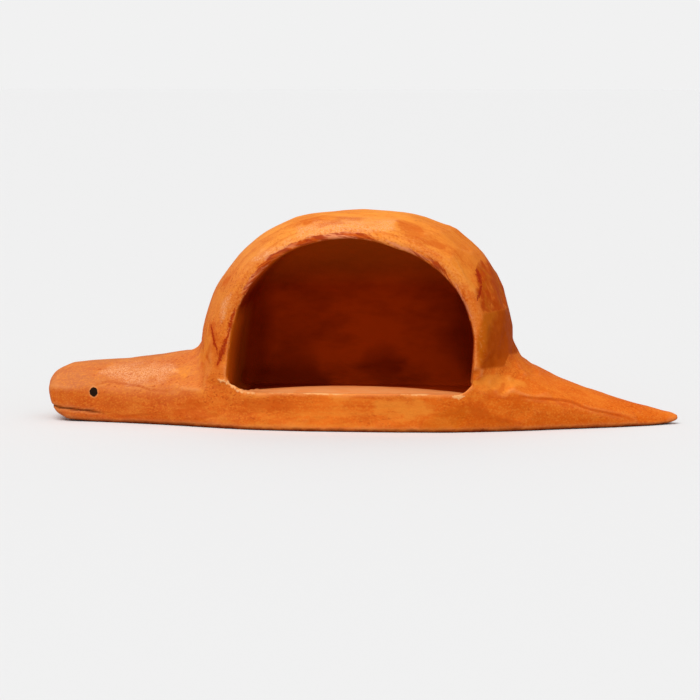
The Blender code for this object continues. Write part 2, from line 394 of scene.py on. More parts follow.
def knife_tree():
    tree, given = start_tree("Knife flats", ("Flat Spacing", "Flat Depth", "Flat Tilt"),
                             ("Join Softness", "Rubbed", "Seed"))
    geometry = given["Geometry"]

    # Joins are relaxed where the skin bends in, and the hollow's corners with them
    crease = ranged(tree, bend(tree, 24), 0.00008, 0.00045)
    join = calc(tree, "MULTIPLY", blurred(tree, crease, 20, kind="FLOAT"), 1.8)
    open_skin = calc(tree, "SUBTRACT", 1.0, named(tree, "crisp"))
    join = calc(tree, "MULTIPLY", calc(tree, "MINIMUM", join, 1.0), open_skin)
    geometry = stored(tree, geometry, "join", join)
    relaxed = blurred(tree, position(tree), given["Join Softness"], named(tree, "join"))
    geometry = placed(tree, geometry, relaxed)

    # Rubbing down rounds what stands out, most of all round the lip of the shell
    soft = calc(tree, "MULTIPLY_ADD", named(tree, "shell"), 0.4, 0.5)
    soft = calc(tree, "MAXIMUM", calc(tree, "MULTIPLY", open_skin, soft), named(tree, "lip"))
    geometry = placed(tree, geometry, blurred(tree, position(tree), given["Rubbed"],
                                              calc(tree, "MULTIPLY", soft, open_skin)))
    geometry = placed(tree, geometry, blurred(tree, position(tree), 3))

    # Each point is pared to the lowest of a few overlapping sets of flats
    lowest, tint = flat_set(tree, geometry, given, given["Seed"])
    for i in range(1, FLAT_SETS):
        offset, own_tint = flat_set(tree, geometry, given, calc(tree, "ADD", given["Seed"], float(i)))
        lower = calc(tree, "LESS_THAN", offset, lowest)
        tint = add(tree, "ShaderNodeMix", {"Factor": lower, 2: tint, 3: own_tint}).outputs[0]
        lowest = calc(tree, "MINIMUM", offset, lowest)
    geometry = stored(tree, geometry, "flat_tint", blurred(tree, tint, 3, kind="FLOAT"))
    limits = {"Value": lowest, "Min": DEEPEST_CUT, "Max": HIGHEST_RIDGE}
    lowest = add(tree, "ShaderNodeClamp", limits).outputs[0]
    pared = calc(tree, "MULTIPLY", blurred(tree, lowest, 5, kind="FLOAT"), named(tree, "knife"))
    geometry = moved(tree, geometry, scaled(tree, normal(tree), pared))
    return end_tree(tree, geometry, given)


run_tree(figurine, knife_tree(), {
    "Flat Spacing": FLAT_SPACING,
    "Flat Depth": FLAT_DEPTH,
    "Flat Tilt": FLAT_TILT,
    "Join Softness": JOIN_SOFTNESS,
    "Rubbed": RUBBED,
    "Seed": CARVING_SEED,
})


# Single cuts that the eye finds: broad flats on the shell's crown and its flank towards the tail,
# the knife line of the mouth, creases along the head and the tail, and the broken corner. The
# courses of the mouth and of the broken edge are pairs of x and height.
BIG_FLATS = (
    # x and height of its middle on the near side, how far it reaches, how deep it goes
    (0.039, 0.065, 0.011, 0.0003),
    (0.002, 0.0825, 0.014, 0.0003),
)
MOUTH_ROUTE = ((-0.125, 0.0065), (-0.120, 0.0055), (-0.108, 0.0045), (-0.103, 0.004), (-0.098, 0.003))
MOUTH_DEPTH = 0.00045
MOUTH_WIDTH = 0.00040
CREASES = (
    # how strong, then its course along the near side as x and height
    (1.0, (0.057, 0.0145), (0.072, 0.0125), (0.083, 0.0105), (0.088, 0.0085), (0.098, 0.0055),
     (0.108, 0.003)),
    (0.7, (-0.110, 0.013), (-0.100, 0.016), (-0.088, 0.015), (-0.082, 0.0135), (-0.066, 0.0135)),
    (0.6, (-0.100, 0.004), (-0.094, 0.003), (-0.082, 0.004), (-0.071, 0.004)),
)
CREASE_WIDTH = 0.00045
CREASE_DEPTH = 0.00010
CREASE_WANDER = 0.00018
BREAK_ROUTE = ((-0.0535, 0.019), (-0.0505, 0.0185), (-0.049, 0.0175), (-0.0455, 0.015), (-0.0395, 0.0145))
BREAK_RISE = 0.00035
BREAK_WIDTH = 0.00034
BREAK_RAGGED = 0.0004


def pare_flats(mesh):
    """Cuts each broad flat square to the way the near skin faces at its middle."""
    for x, height, reach, depth in BIG_FLATS:
        co, normal = points_of(mesh), normals_of(mesh)
        middle = np.argmin(np.hypot(co[:, 0] - x, co[:, 2] - height) + (co[:, 1] > 0))
        away = co - co[middle]
        far = np.linalg.norm(away, axis=1)
        facing = normal[(far < 0.4 * reach) & (normal @ normal[middle] > 0.5)].mean(axis=0)
        facing /= np.linalg.norm(facing)
        near = step(far, reach, 0.8 * reach) * step(normal @ facing, 0.3, 0.6)
        move_points(mesh, co - facing * (np.maximum(away @ facing + depth, 0) * near)[:, None])


def mouth_share(co):
    """1 on the mouth's line, fading over its width."""
    route_x, route_z = zip(*MOUTH_ROUTE)
    level = np.interp(co[:, 0], route_x, route_z)
    ends = step(co[:, 0], MOUTH_ROUTE[-1][0], MOUTH_ROUTE[-3][0])
    return step(np.abs(co[:, 2] - level), 1.6 * MOUTH_WIDTH, 0.3 * MOUTH_WIDTH) * ends


def cut_mouth(mesh):
    co, normal = points_of(mesh), normals_of(mesh)
    cut = mouth_share(co)
    keep_share(mesh, "mouth", cut)
    move_points(mesh, co - normal * (cut * MOUTH_DEPTH)[:, None])


def crease_sides(mesh):
    """Shallow creases along the near side of the head and of the tail."""
    co, normal = points_of(mesh), normals_of(mesh)
    cut = np.zeros(len(co))
    for strength, *route in CREASES:
        route_x, route_z = zip(*route)
        level = np.interp(co[:, 0], route_x, route_z) + CREASE_WANDER * np.sin(co[:, 0] * 310 + 2)
        ends = step(co[:, 0], route_x[0], route_x[1]) * step(co[:, 0], route_x[-1], route_x[-2])
        line = step(np.abs(co[:, 2] - level), 2 * CREASE_WIDTH, 0.3 * CREASE_WIDTH) * ends
        cut = np.maximum(cut, strength * line * step(normal[:, 1], -0.1, -0.3))
    keep_share(mesh, "crease", cut)
    move_points(mesh, co - normal * (cut * CREASE_DEPTH)[:, None])


def break_corner(mesh):
    """Raised ragged edge where wood broke away at the left corner of the niche's mouth."""
    co, normal = points_of(mesh), normals_of(mesh)
    route_x, route_z = zip(*BREAK_ROUTE)
    ragged = BREAK_RAGGED * np.sin(co[:, 0] * 5200) * np.sin(co[:, 0] * 2300 + 1)
    level = np.interp(co[:, 0], route_x, route_z) + ragged
    begins = step(co[:, 0], route_x[0] - 0.001, route_x[0])
    ends = begins * step(co[:, 0], route_x[-1] + 0.001, route_x[-1])
    edge = step(np.abs(co[:, 2] - level), 2 * BREAK_WIDTH, 0.5 * BREAK_WIDTH) * ends * (co[:, 1] < -0.020)
    keep_share(mesh, "chip", edge)
    move_points(mesh, co + normal * (edge * BREAK_RISE)[:, None])


pare_flats(figurine.data)
cut_mouth(figurine.data)
crease_sides(figurine.data)
break_corner(figurine.data)


# Torn wood and wear: splinters along the mouth of the niche, where the gouge broke out, a fine
# tooth on the soft places, and a record of how sharply the skin bends, from which the stain takes
# painted shade in the recesses and wear with a painted highlight on the arrises.
SPLINTER_DEPTH = 0.0007
TOOTH_DEPTH = 0.00009
TURN_REACH = 0.020
FIBRE_LEAN = 0.046
MOST_TRIANGLES = 196000


def axis(tree, place, index):
    return add(tree, "ShaderNodeSeparateXYZ", {0: place}).outputs[index]


def fibre_run(tree, turn, arch, depth, lean=0.0):
    """A place told by how far round the arch, how far out and how deep: runs round the arch are long."""
    along = calc(tree, "MULTIPLY", turn, TURN_REACH)
    across = calc(tree, "MULTIPLY", arch, MOUTH_HALF)
    across = calc(tree, "SUBTRACT", across, calc(tree, "MULTIPLY", turn, lean))
    return add(tree, "ShaderNodeCombineXYZ", {0: along, 1: across, 2: depth}).outputs[0]


def wear_tree():
    tree, given = start_tree("Torn wood", ("Splinter Depth", "Tooth Depth"), ())
    geometry = given["Geometry"]
    run = fibre_run(tree, named(tree, "turn"), named(tree, "arch"), axis(tree, position(tree), 1))
    fine = add(tree, "ShaderNodeTexNoise", {"Vector": run, "Scale": 800.0, "Detail": 2.0}).outputs[0]
    broad = add(tree, "ShaderNodeTexNoise", {"Vector": run, "Scale": 260.0, "Detail": 2.0}).outputs[0]
    ragged = calc(tree, "ADD", calc(tree, "MULTIPLY", fine, 0.9), calc(tree, "MULTIPLY", broad, 1.1))
    ragged = calc(tree, "SUBTRACT", 0.9, ragged)
    torn = calc(tree, "MAXIMUM", named(tree, "torn"), calc(tree, "MULTIPLY", named(tree, "chip"), 0.1))
    bite = calc(tree, "MULTIPLY", calc(tree, "MULTIPLY", ragged, torn), given["Splinter Depth"])
    grain = vector(tree, "MULTIPLY", position(tree), (0.12, 1.0, 1.0))
    tooth = add(tree, "ShaderNodeTexNoise", {"Vector": grain, "Scale": 520.0, "Detail": 1.0}).outputs[0]
    tooth = calc(tree, "MULTIPLY", calc(tree, "SUBTRACT", tooth, 0.5), given["Tooth Depth"])
    tooth = calc(tree, "MULTIPLY", tooth, calc(tree, "SUBTRACT", 1.0, named(tree, "crisp")))
    geometry = moved(tree, geometry, scaled(tree, normal(tree), calc(tree, "ADD", bite, tooth)))
    geometry = stored(tree, geometry, "arris_wear_highlight", ranged(tree, bend(tree, 4), -0.00002, -0.00012))
    geometry = stored(tree, geometry, "recess_shade", ranged(tree, bend(tree, 30), 0.00005, 0.0008))
    return end_tree(tree, geometry, given)


def thin_out(block, most):
    """Merges points where the skin is plain, so that the piece stays light."""
    triangles = sum(len(p.vertices) - 2 for p in block.data.polygons)
    thin = block.modifiers.new("thin", "DECIMATE")
    thin.ratio = min(1.0, most / triangles)
    apply_modifier(block, thin)


# Marks in the stain: places where it took dark or stayed pale, each a stroke of the rag or the
# brush, and with them light and shade painted in the same way: the pale strokes along the sill and
# the sides of the mouth are wear with a painted highlight, the pink on the head's shoulder is a
# painted sheen, and the broad dark strokes in the hollow are painted shade on its wall and floor.
# They are in millimetres as seen from the near side and reach a little way round it.
STROKES = (
    # tone, where it starts and where it ends as x and height, half its width
    ("russet", (-53, 55), (-50, 59), 1.4),
    ("russet", (-56, 40), (-54, 24), 3.0),
    ("russet", (48, 57), (50, 50), 1.6),
    ("russet", (16, 80), (26, 77), 2.4),
    ("russet", (18, 79), (32, 72), 3.0),
    ("russet", (-24, 80), (2, 82), 1.2),
    ("russet", (-70, 9), (-59, 9), 2.0),
    ("russet", (-73, 5), (-54, 5), 1.6),
    ("russet", (-97, 2), (-60, 2), 1.3),
    ("russet", (-43, 11), (-23, 9), 3.0),
    ("russet", (25, 3), (30, 7), 0.8),
    ("russet", (30, 7), (44, 10), 1.0),
    ("russet", (44, 11), (52, 6), 2.4),
    ("russet", (47, 12), (57, 17), 1.8),
    ("russet", (52, 6), (63, 3), 1.2),
    ("russet", (54, 15), (82, 10), 0.9),
    ("russet", (95, 5), (108, 3), 0.8),
    ("gold", (-73, 21), (-66, 21), 3.0),
    ("gold", (-64, 27), (-59, 29), 2.4),
    ("gold", (-59, 27), (-58, 39), 1.7),
    ("gold", (9, 10), (30, 9), 4.0),
    ("gold", (45, 19), (65, 18), 3.0),
    ("gold", (34, 66), (44, 57), 3.6),
    # Painted sheen on the head's shoulder; the other pink strokes are a pale band on the shell.
    ("pink", (-103, 19), (-79, 19), 3.2),
    ("pink", (-86, 21), (-72, 21), 2.4),
    ("pink", (-53, 42), (-49, 52), 1.8),
    ("pink", (-40, 66), (-12, 77), 1.8),
    ("pink", (-22, 77), (14, 80), 2.8),
    ("blood", (-47, 47), (-50, 36), 0.7),
    ("blood", (-50, 36), (-54, 25), 1.0),
    ("blood", (-57, 40), (-54, 29), 0.6),
    ("blood", (-43, 55), (-39, 60), 0.8),
    ("blood", (-39, 60), (-32, 66), 0.7),
    ("blood", (-27, 71), (-18, 74), 0.6),
    ("blood", (-18, 74), (-6, 76), 0.5),
    ("blood", (30, 64), (42, 52), 0.4),
    ("blood", (46, 62), (48, 57), 0.8),
    ("blood", (48, 56), (47, 51), 0.5),
    ("rose", (-35, 66), (-25, 71), 1.1),
    ("rose", (-17, 75), (2, 77), 0.8),
    ("rose", (12, 74), (30, 66), 0.8),
    ("rose", (38, 58), (45, 44), 0.7),
    # Wear with a painted highlight along the sill and the sides of the mouth.
    ("worn_edge_highlight", (-40, 15), (-24, 15), 0.3),
    ("worn_edge_highlight", (-21, 15), (-1, 15), 0.4),
    ("worn_edge_highlight", (18, 15), (30, 15), 0.4),
    ("worn_edge_highlight", (38, 14), (42, 14), 0.9),
    ("worn_edge_highlight", (-49, 34), (-50, 21), 0.3),
    ("worn_edge_highlight", (45, 36), (44, 19), 0.3),
    # Painted shade low in the hollow and along its right side.
    ("hollow_shade", (-40, 16), (-17, 14), 11.0),
    ("hollow_shade", (-2, 20), (15, 21), 6.0),
    ("hollow_shade", (42, 20), (42, 50), 9.0),
)
# Brown of the flank, darker stain with painted shade where the flank faces away from the light:
# its edge towards the mouth as height and x, its foot as x and height, where it turns from brown to
# rust and where it ends. Brown at the end of the base, stain and painted shade too: its top as x and
# height.
FLANK_EDGE = (
    (0.025, 0.048), (0.034, 0.0465), (0.039, 0.0475), (0.046, 0.0495), (0.053, 0.047), (0.063, 0.046),
)
FLANK_FOOT = ((0.057, 0.0245), (0.0585, 0.0285), (0.063, 0.0275))
FLANK_SPLIT = 0.046
FLANK_TOP = 0.064
BASE_END = ((0.025, 0.003), (0.030, 0.007), (0.036, 0.010), (0.045, 0.0105), (0.054, 0.007), (0.064, 0.002))
BROAD_TONES = ("russet", "gold", "pink", "hollow_shade")
BROAD_WANDER = 0.0022
FINE_WANDER = 0.0014
WANDER_SEED = 5
WRAP = 0.020


def stroke_share(seen, start, end, half_width):
    """Cover of one broad stroke on the skin's points: full along its middle, narrower at its ends."""
    start, end = np.array(start) / 1000, np.array(end) / 1000
    line = end - start
    along = np.clip((seen - start) @ line / (line @ line), 0, 1)
    away = np.linalg.norm(seen - start - along[:, None] * line, axis=1)
    half = half_width / 1000 * (0.4 + 0.7 * np.sin(np.pi * along))
    return np.clip((1.6 - away / half) / 1.4, 0, 1)


def mark_strokes(mesh):
    """Share of each broad tone, the strokes' lines wandering a little."""
    co = points_of(mesh)
    scatter.seed_set(WANDER_SEED)
    shift = [scatter.noise_vector(Vector(point) * 200) for point in co]
    seen = (co + BROAD_WANDER * np.array(shift))[:, (0, 2)]
    depth = co[:, 1] - near_side(co)(co[:, 0])
    keep_share(mesh, "front", step(depth, 0.0026, 0.0012))
    for tone in BROAD_TONES:
        strokes = [stroke_share(seen, *stroke[1:]) for stroke in STROKES if stroke[0] == tone]
        reach = 1.0 if tone == "hollow_shade" else step(depth, WRAP, 0.6 * WRAP)
        keep_share(mesh, tone, np.maximum.reduce(strokes) * reach)


def mark_flank_stain_and_shade(mesh):
    """Shares of rust on the upper flank and of brown on the lower flank and the end of the base."""
    # Both are darker stain, with painted shade where these faces turn from the light.
    co = points_of(mesh)
    levels, edges = zip(*FLANK_EDGE)
    stops, feet = zip(*FLANK_FOOT)
    flank = step(co[:, 0] - np.interp(co[:, 2], levels, edges), -0.0010, 0.0010)
    flank *= step(co[:, 2] - np.interp(co[:, 0], stops, feet), -0.0005, 0.0005)
    flank *= step(co[:, 1], 0.020, -0.004)
    upper = step(co[:, 2], FLANK_SPLIT - 0.0006, FLANK_SPLIT + 0.0006)
    keep_share(mesh, "rust", flank * upper * step(co[:, 2], FLANK_TOP + 0.003, FLANK_TOP - 0.002))
    stops, tops = zip(*BASE_END)
    base = step(np.interp(co[:, 0], stops, tops, left=-1, right=-1) - co[:, 2], -0.0002, 0.0008)
    keep_share(mesh, "brown", np.maximum(flank * (1 - upper), 0.35 * base * (co[:, 1] < 0)))


def stroke_group():
    """Cover of one stroke: full along its middle, fading to its sides, narrower at its ends."""
    group = bpy.data.node_groups.new("stain stroke", "ShaderNodeTree")
    for title in ("Place", "Start", "End"):
        group.interface.new_socket(title, in_out="INPUT", socket_type="NodeSocketVector")
    group.interface.new_socket("Half Width", in_out="INPUT", socket_type="NodeSocketFloat")
    group.interface.new_socket("Cover", in_out="OUTPUT", socket_type="NodeSocketFloat")
    given = group.nodes.new("NodeGroupInput").outputs
    line = vector(group, "SUBTRACT", given["End"], given["Start"])
    reach = vector(group, "SUBTRACT", given["Place"], given["Start"])
    along = calc(group, "DIVIDE", vector(group, "DOT_PRODUCT", reach, line),
                 vector(group, "DOT_PRODUCT", line, line))
    along = ranged(group, along, 0.0, 1.0)
    away = add(group, "ShaderNodeVectorMath", {0: reach, 1: scaled(group, line, along)},
               operation="DISTANCE").outputs["Value"]
    taper = calc(group, "SINE", calc(group, "MULTIPLY", along, math.pi))
    half = calc(group, "MULTIPLY", given["Half Width"], calc(group, "MULTIPLY_ADD", taper, 0.7, 0.4))
    cover = ranged(group, calc(group, "DIVIDE", away, half), 1.6, 0.2)
    group.links.new(cover, add(group, "NodeGroupOutput").inputs["Cover"])
    return group


def wandering(tree, place, scale, amount):
    """The place, shifted a little this way and that."""
    shift = add(tree, "ShaderNodeTexNoise", {"Vector": place, "Scale": scale, "Detail": 3.0})
    shift = scaled(tree, vector(tree, "SUBTRACT", shift.outputs["Color"], (0.5, 0.5, 0.5)), amount)
    return vector(tree, "ADD", place, shift)


def stroke_covers(tree, place):
    """The cover of all the strokes of each tone; the fine ones are laid here, wandering a little."""
    group = stroke_group()
    covers = {tone: share(tree, tone) for tone in BROAD_TONES}
    seen = vector(tree, "MULTIPLY", wandering(tree, place, 500.0, FINE_WANDER), (1.0, 0.0, 1.0))
    for tone, start, end, half_width in STROKES:
        if tone in BROAD_TONES:
            continue
        stroke = add(tree, "ShaderNodeGroup", {
            "Place": seen, "Start": (start[0] / 1000, 0.0, start[1] / 1000),
            "End": (end[0] / 1000, 0.0, end[1] / 1000), "Half Width": half_width / 1000}, node_tree=group)
        covers[tone] = calc(tree, "MAXIMUM", stroke.outputs["Cover"], covers.get(tone, 0.0))
    near = ranged(tree, axis(tree, place, 1), -0.014, -0.019)
    covers["blood"] = calc(tree, "MULTIPLY", covers["blood"], near)
    covers["rose"] = calc(tree, "MULTIPLY", covers["rose"], near)
    covers["worn_edge_highlight"] = calc(tree, "MULTIPLY", covers["worn_edge_highlight"], share(tree, "front"))
    return covers


# The stain: a thin orange stain rubbed over pale wood, blotchy where the wood drinks it, darker
# and redder in the hollow, worn light on the arrises. Light and shade are painted into it as well:
# yellower on top, a sheen on the head, shade in the hollow, the recesses, along the foot and on the
# flank that faces away from the light, and highlights on the arrises and the sill. The eye and the
# mouth are painted on it.
AMBER = (0.94, 0.325, 0.050, 1.0)
GOLD = (0.93, 0.310, 0.038, 1.0)
ORANGE = (0.87, 0.178, 0.016, 1.0)
RUSSET = (0.60, 0.085, 0.006, 1.0)
OXBLOOD = (0.37, 0.028, 0.003, 1.0)
BLOOD = (0.38, 0.022, 0.003, 1.0)
BROWN = (0.46, 0.068, 0.002, 1.0)
TAN_BROWN = (0.54, 0.115, 0.004, 1.0)
RUST = (0.50, 0.055, 0.002, 1.0)
# Painted shade and painted sheen of the head.
HEAD_SHADE_TONE = (0.53, 0.083, 0.014, 1.0)
HEAD_SHEEN_TONE = (0.44, 0.175, 0.085, 1.0)
# A pale pink, which on the head's shoulder is painted sheen.
PALE_PINK_AND_SHEEN = (0.90, 0.420, 0.200, 1.0)
EMBER = (0.70, 0.105, 0.002, 1.0)
PEACH = (0.92, 0.400, 0.150, 1.0)
# Cream of the worn edges, with their painted highlight.
CREAM_WEAR_HIGHLIGHT = (0.93, 0.460, 0.170, 1.0)
SALMON = (0.93, 0.390, 0.140, 1.0)
BARE = (0.97, 0.480, 0.190, 1.0)
FIBRE = (0.80, 0.260, 0.110, 1.0)
# The hollow's reds are darker stain with painted shade; the darkest tone also paints shade elsewhere.
HOLLOW_RED = (0.45, 0.040, 0.001, 1.0)
DARK_STAIN_AND_SHADE = (0.15, 0.009, 0.001, 1.0)
HOLLOW_LIGHT = (0.62, 0.125, 0.006, 1.0)
FLOOR_TAN = (0.88, 0.320, 0.100, 1.0)
PAINT = (0.020, 0.010, 0.006, 1.0)
EYE = (-0.1055, 0.0120)
EYE_HALF = (0.0016, 0.0019)
# Where a tone starts and where it is full, along x, but for the foot's and the roof's heights
RED_ENDS = (0.050, 0.075)
# Where the head's painted sheen and shade start and where they are full.
HEAD_SHEEN_SPAN = (-0.015, -0.075)
WARM_TAIL = (0.016, 0.040)
DARK_PORES = (-0.020, -0.055)
BROWN_FRONT = (0.0414, 0.0436)
BROWN_LEAN = 0.28
# Height of the painted shade along the foot.
FOOT_SHADE = (0.0026, 0.0014)
# Painted shade beside the hollow's left wall.
LEFT_CORNER_SHADE = (-0.0360, -0.0420)
LEFT_WALL = (-0.0445, -0.0470)
PALE_ROOF = (0.052, 0.072)
SHEEN = 0.006
SHEEN_TINT = (1.0, 0.66, 0.42, 1.0)
RELIEF_STRENGTH = 0.45
RELIEF_DEPTH = 0.0003


def mixed(tree, factor, a, b):
    return add(tree, "ShaderNodeMix", {0: factor, 6: a, 7: b}, data_type="RGBA").outputs[2]


def share(tree, name):
    return add(tree, "ShaderNodeAttribute", attribute_name=name).outputs["Fac"]


def noise(tree, place, scale, detail, stretch=(1.0, 1.0, 1.0), roughness=0.6):
    at = add(tree, "ShaderNodeMapping", {"Vector": place, "Scale": stretch}).outputs[0]
    return add(tree, "ShaderNodeTexNoise",
               {"Vector": at, "Scale": scale, "Detail": detail, "Roughness": roughness}).outputs[0]


def brushed(tree, place, scale, detail):
    """Streaks of the rag: round the arch on the shell, and along the body below it."""
    round_arch = fibre_run(tree, share(tree, "turn"), share(tree, "arch"), axis(tree, place, 1))
    return add(tree, "ShaderNodeMix", {
        "Factor": share(tree, "shell"),
        2: noise(tree, place, scale, detail, (0.10, 1.0, 1.0)),
        3: noise(tree, round_arch, scale, detail)}).outputs[0]


def broken(tree, cover, grain, strength):
    """A mark's cover with its edge broken up by the grain."""
    rough = calc(tree, "ADD", cover, calc(tree, "MULTIPLY", calc(tree, "SUBTRACT", grain, 0.5), 2.2))
    rough = ranged(tree, rough, 0.25, 0.85, 0.0, strength)
    return calc(tree, "MULTIPLY", rough, ranged(tree, cover, 0.0, 0.30))


def rubbed_stain_and_painted_light(tree, place, blotch, streak, cells):
    """Orange over the wood, with blotches, streaks, pale cells and dark pores; painted light yellows the
    tops.
    """
    up = axis(tree, add(tree, "ShaderNodeNewGeometry").outputs["Normal"], 2)
    # Painted light: amber on faces that look up and higher on the piece, orange on the sides and low down.
    light = calc(tree, "ADD", calc(tree, "MULTIPLY", up, 0.40),
                 calc(tree, "MULTIPLY", axis(tree, place, 2), 6.0))
    light = calc(tree, "ADD", light, calc(tree, "MULTIPLY", blotch, 0.9))
    tone = mixed(tree, ranged(tree, light, 0.50, 1.20), ORANGE, AMBER)
    mottle = noise(tree, place, 130.0, 4.0, (0.6, 1.0, 1.2))
    tone = mixed(tree, ranged(tree, mottle, 0.50, 0.70, 0.0, 0.45), tone, RUSSET)
    tone = mixed(tree, ranged(tree, mottle, 0.48, 0.36, 0.0, 0.35), tone, GOLD)
    red = noise(tree, place, 42.0, 5.0, (0.7, 1.0, 1.6))
    tone = mixed(tree, ranged(tree, red, 0.52, 0.70, 0.0, 0.45), tone, RUSSET)
    tone = mixed(tree, ranged(tree, share(tree, "flat_tint"), 0.60, 1.0, 0.0, 0.20), tone, RUSSET)
    ends = calc(tree, "ABSOLUTE", calc(tree, "SUBTRACT", axis(tree, place, 0), SHELL_MIDDLE))
    tone = mixed(tree, ranged(tree, ends, *RED_ENDS, 0.0, 0.30), tone, RUSSET)
    tone = mixed(tree, ranged(tree, streak, 0.50, 0.66, 0.0, 0.42), tone, RUSSET)
    tone = mixed(tree, ranged(tree, streak, 0.48, 0.34, 0.0, 0.34), tone, GOLD)
    # Painted sheen on the head's upward faces, painted shade on those that look down.
    sheen_and_shade = mixed(tree, ranged(tree, up, 0.0, 0.5), HEAD_SHADE_TONE, HEAD_SHEEN_TONE)
    head_sheen_share = ranged(tree, axis(tree, place, 0), *HEAD_SHEEN_SPAN, 0.0, 0.38)
    head_sheen_share = calc(tree, "MULTIPLY", head_sheen_share, ranged(tree, red, 0.36, 0.60, 1.40, 0.85))
    tone = mixed(tree, head_sheen_share, tone, sheen_and_shade)
    tone = mixed(tree, ranged(tree, axis(tree, place, 0), *WARM_TAIL, 0.0, 0.42), tone, EMBER)
    tone = mixed(tree, ranged(tree, cells, 0.50, 0.62, 0.0, 0.30), tone, GOLD)
    pores = noise(tree, place, 1300.0, 1.0, (0.5, 1.0, 1.0))
    pores = ranged(tree, pores, 0.58, 0.68)
    pores = calc(tree, "MULTIPLY", pores, ranged(tree, red, 0.44, 0.58, 0.06, 0.28))
    pores = calc(tree, "MULTIPLY", pores, ranged(tree, axis(tree, place, 0), *DARK_PORES, 1.0, 1.7))
    return mixed(tree, pores, tone, OXBLOOD)


def marks_and_painted_light(tree, place, tone, mottle, cells, covers):
    """Strokes and worn places over the stain, painted shade and painted highlights."""
    tone = mixed(tree, broken(tree, covers["gold"], mottle, 0.50), tone, GOLD)
    tone = mixed(tree, broken(tree, covers["russet"], mottle, 0.50), tone, RUSSET)
    speckle = ranged(tree, noise(tree, place, 1900.0, 1.0), 0.42, 0.62, 0.10, 0.75)
    # The pink: a pale band on the shell, and painted sheen on the head's shoulder.
    tone = mixed(tree, calc(tree, "MULTIPLY", covers["pink"], speckle), tone, PALE_PINK_AND_SHEEN)
    tone = mixed(tree, broken(tree, share(tree, "crease"), cells, 0.45), tone, OXBLOOD)
    # Painted shade in the recesses; wear with a painted highlight on the arrises.
    tone = mixed(tree, calc(tree, "MULTIPLY", share(tree, "recess_shade"), 0.40), tone, RUSSET)
    tone = mixed(tree, calc(tree, "MULTIPLY", share(tree, "arris_wear_highlight"), 0.25), tone, PEACH)
    # Brown and rust on the flats: darker stain, and painted shade where they face away from the light.
    flank_patchiness = ranged(tree, mottle, 0.35, 0.65, 0.80, 1.0)
    leaning = calc(tree, "MULTIPLY", axis(tree, place, 2), BROWN_LEAN)
    behind = calc(tree, "SUBTRACT", axis(tree, place, 0), leaning)
    behind = calc(tree, "ADD", behind, calc(tree, "MULTIPLY", mottle, 0.003))
    brown = mixed(tree, ranged(tree, behind, *BROWN_FRONT), TAN_BROWN, BROWN)
    tone = mixed(tree, calc(tree, "MULTIPLY", share(tree, "brown"), flank_patchiness), tone, brown)
    rust = broken(tree, share(tree, "rust"), mottle, 0.92)
    patch = noise(tree, place, 210.0, 3.0)
    red = mixed(tree, ranged(tree, patch, 0.50, 0.66, 0.0, 0.8), RUST, TAN_BROWN)
    tone = mixed(tree, calc(tree, "MULTIPLY", rust, flank_patchiness), tone, red)
    tone = mixed(tree, broken(tree, covers["blood"], cells, 0.92), tone, BLOOD)
    # Painted shade along the foot, where it meets the floor.
    level = axis(tree, place, 2)
    foot = ranged(tree, calc(tree, "ADD", level, calc(tree, "MULTIPLY", mottle, 0.002)), *FOOT_SHADE)
    return mixed(tree, calc(tree, "MULTIPLY", foot, 0.85), tone, DARK_STAIN_AND_SHADE)


def torn_wood(tree, place, tone, cells, covers):
    """Bare fibres, pink and dark by turns, where the mouth of the niche broke out."""
    leaning = fibre_run(tree, share(tree, "turn"), share(tree, "arch"), axis(tree, place, 1), FIBRE_LEAN)
    flecks = noise(tree, leaning, 1000.0, 3.0, (1.4, 1.0, 1.0))
    patches = noise(tree, leaning, 380.0, 3.0, (1.4, 1.0, 1.0))
    near_rim = calc(tree, "MULTIPLY", ranged(tree, share(tree, "arch"), 1.15, 1.02),
                    ranged(tree, axis(tree, place, 2), 0.020, 0.034))
    near_rim = calc(tree, "MULTIPLY", near_rim, ranged(tree, axis(tree, place, 1), -0.018, -0.026))
    speckle = noise(tree, place, 1000.0, 3.0)
    dark = ranged(tree, speckle, 0.52, 0.64, 0.0, 0.7)
    pale = ranged(tree, speckle, 0.44, 0.36, 0.0, 0.3)
    tone = mixed(tree, calc(tree, "MULTIPLY", near_rim, dark), tone, RUSSET)
    tone = mixed(tree, calc(tree, "MULTIPLY", near_rim, pale), tone, SALMON)
    tone = mixed(tree, broken(tree, covers["rose"], flecks, 0.75), tone, FIBRE)
    fibres = mixed(tree, ranged(tree, patches, 0.42, 0.52), FIBRE, RUSSET)
    fibres = mixed(tree, ranged(tree, flecks, 0.46, 0.56, 0.0, 0.9), fibres, OXBLOOD)
    tone = mixed(tree, broken(tree, share(tree, "torn"), flecks, 0.90), tone, fibres)
    tone = mixed(tree, broken(tree, share(tree, "chip"), cells, 0.8), tone, BARE)
    # Wear with a painted highlight on the sill's edge and the sides of the mouth.
    return mixed(tree, broken(tree, covers["worn_edge_highlight"], cells, 0.85), tone, CREAM_WEAR_HIGHLIGHT)


